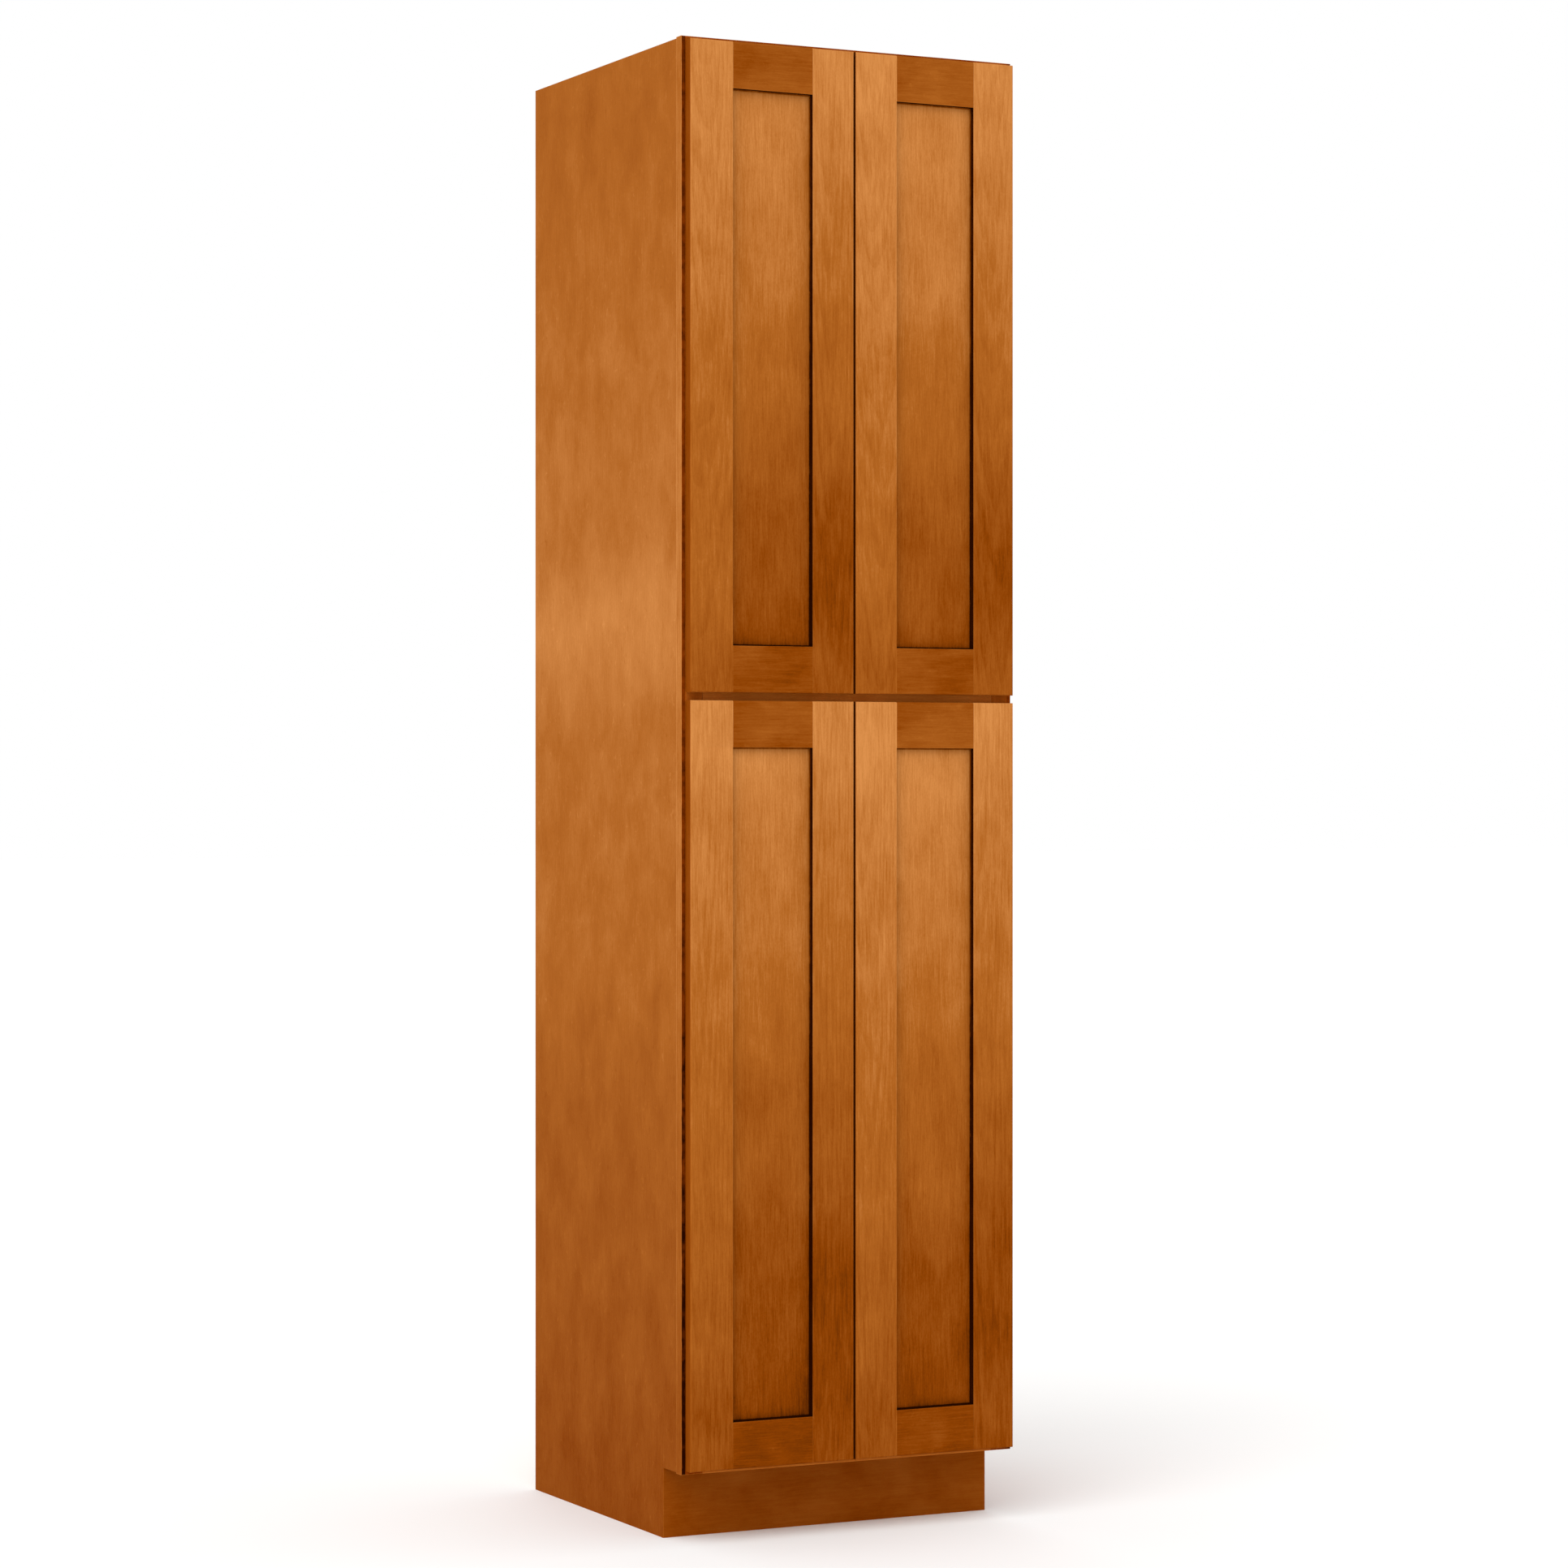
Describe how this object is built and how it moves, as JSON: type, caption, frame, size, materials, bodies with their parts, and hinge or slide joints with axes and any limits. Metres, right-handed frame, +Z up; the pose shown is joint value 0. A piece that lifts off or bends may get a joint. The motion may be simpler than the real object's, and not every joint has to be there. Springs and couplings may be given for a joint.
{
  "type": "pantry cabinet",
  "caption": "Tall two-tier pantry cabinet with a face frame, full-overlay shaker doors on cup hinges, adjustable shelves and a toe space.",
  "frame": {"origin": "centre of the footprint on the floor, halfway between the door faces and the rear edge of the sides", "axes": "+Z up, -Y is the front where the doors are, +X to the right of someone facing the doors' side, looking along +Y"},
  "size_m": [0.6096, 0.6312, 2.4384],
  "materials": {
    "stained_maple": "cinnamon stain under satin lacquer",
    "natural_maple": "clear satin",
    "plated_steel": "nickel plated",
    "clear_bumper": "soft clear"
  },
  "bodies": {
    "carcass": {"back_panel": "natural_maple", "bottom_deck": "natural_maple", "face_frame_bottom_rail": "stained_maple", "face_frame_left_stile": "stained_maple", "face_frame_mid_rail": "stained_maple", "face_frame_right_stile": "stained_maple", "face_frame_top_rail": "stained_maple", "fixed_shelf": "natural_maple", "left_side_panel": "stained_maple", "lower_bay_high_shelf": "natural_maple", "lower_bay_low_shelf": "natural_maple", "lower_left_door_hinge_arm_1": "plated_steel", "lower_left_door_hinge_arm_2": "plated_steel", "lower_left_door_hinge_arm_3": "plated_steel", "lower_right_door_hinge_arm_1": "plated_steel", "lower_right_door_hinge_arm_2": "plated_steel", "lower_right_door_hinge_arm_3": "plated_steel", "rear_base_rail": "natural_maple", "right_side_panel": "stained_maple", "toe_kick_rail": "natural_maple", "toe_kick_skin": "stained_maple", "top_panel": "natural_maple", "upper_bay_high_shelf": "natural_maple", "upper_bay_low_shelf": "natural_maple", "upper_hanging_rail": "natural_maple", "upper_left_door_hinge_arm_1": "plated_steel", "upper_left_door_hinge_arm_2": "plated_steel", "upper_right_door_hinge_arm_1": "plated_steel", "upper_right_door_hinge_arm_2": "plated_steel"},
    "lower_left_door": {"lower_left_door_bottom_rail": "stained_maple", "lower_left_door_hinge_cup_1": "plated_steel", "lower_left_door_hinge_cup_2": "plated_steel", "lower_left_door_hinge_cup_3": "plated_steel", "lower_left_door_hinge_stile": "stained_maple", "lower_left_door_meeting_stile": "stained_maple", "lower_left_door_panel": "stained_maple", "lower_left_door_top_rail": "stained_maple"},
    "lower_right_door": {"lower_right_door_bottom_rail": "stained_maple", "lower_right_door_hinge_cup_1": "plated_steel", "lower_right_door_hinge_cup_2": "plated_steel", "lower_right_door_hinge_cup_3": "plated_steel", "lower_right_door_hinge_stile": "stained_maple", "lower_right_door_meeting_stile": "stained_maple", "lower_right_door_panel": "stained_maple", "lower_right_door_top_rail": "stained_maple"},
    "upper_left_door": {"upper_left_door_bottom_rail": "stained_maple", "upper_left_door_hinge_cup_1": "plated_steel", "upper_left_door_hinge_cup_2": "plated_steel", "upper_left_door_hinge_stile": "stained_maple", "upper_left_door_meeting_stile": "stained_maple", "upper_left_door_panel": "stained_maple", "upper_left_door_top_rail": "stained_maple"},
    "upper_right_door": {"upper_right_door_bottom_rail": "stained_maple", "upper_right_door_hinge_cup_1": "plated_steel", "upper_right_door_hinge_cup_2": "plated_steel", "upper_right_door_hinge_stile": "stained_maple", "upper_right_door_meeting_stile": "stained_maple", "upper_right_door_panel": "stained_maple", "upper_right_door_top_rail": "stained_maple"}
  },
  "joints": [
    {"name": "lower_left_door_swing", "type": "hinge", "parent": "carcass", "child": "lower_left_door", "pos_m": [-0.29095, -0.30653, 0.74295], "axis": [0, 0, -1], "range_deg": [0, 105]},
    {"name": "lower_right_door_swing", "type": "hinge", "parent": "carcass", "child": "lower_right_door", "pos_m": [0.29095, -0.30653, 0.74295], "axis": [0, 0, 1], "range_deg": [0, 105]},
    {"name": "upper_left_door_swing", "type": "hinge", "parent": "carcass", "child": "upper_left_door", "pos_m": [-0.29095, -0.30653, 1.905], "axis": [0, 0, -1], "range_deg": [0, 105]},
    {"name": "upper_right_door_swing", "type": "hinge", "parent": "carcass", "child": "upper_right_door", "pos_m": [0.29095, -0.30653, 1.905], "axis": [0, 0, 1], "range_deg": [0, 105]}
  ]
}
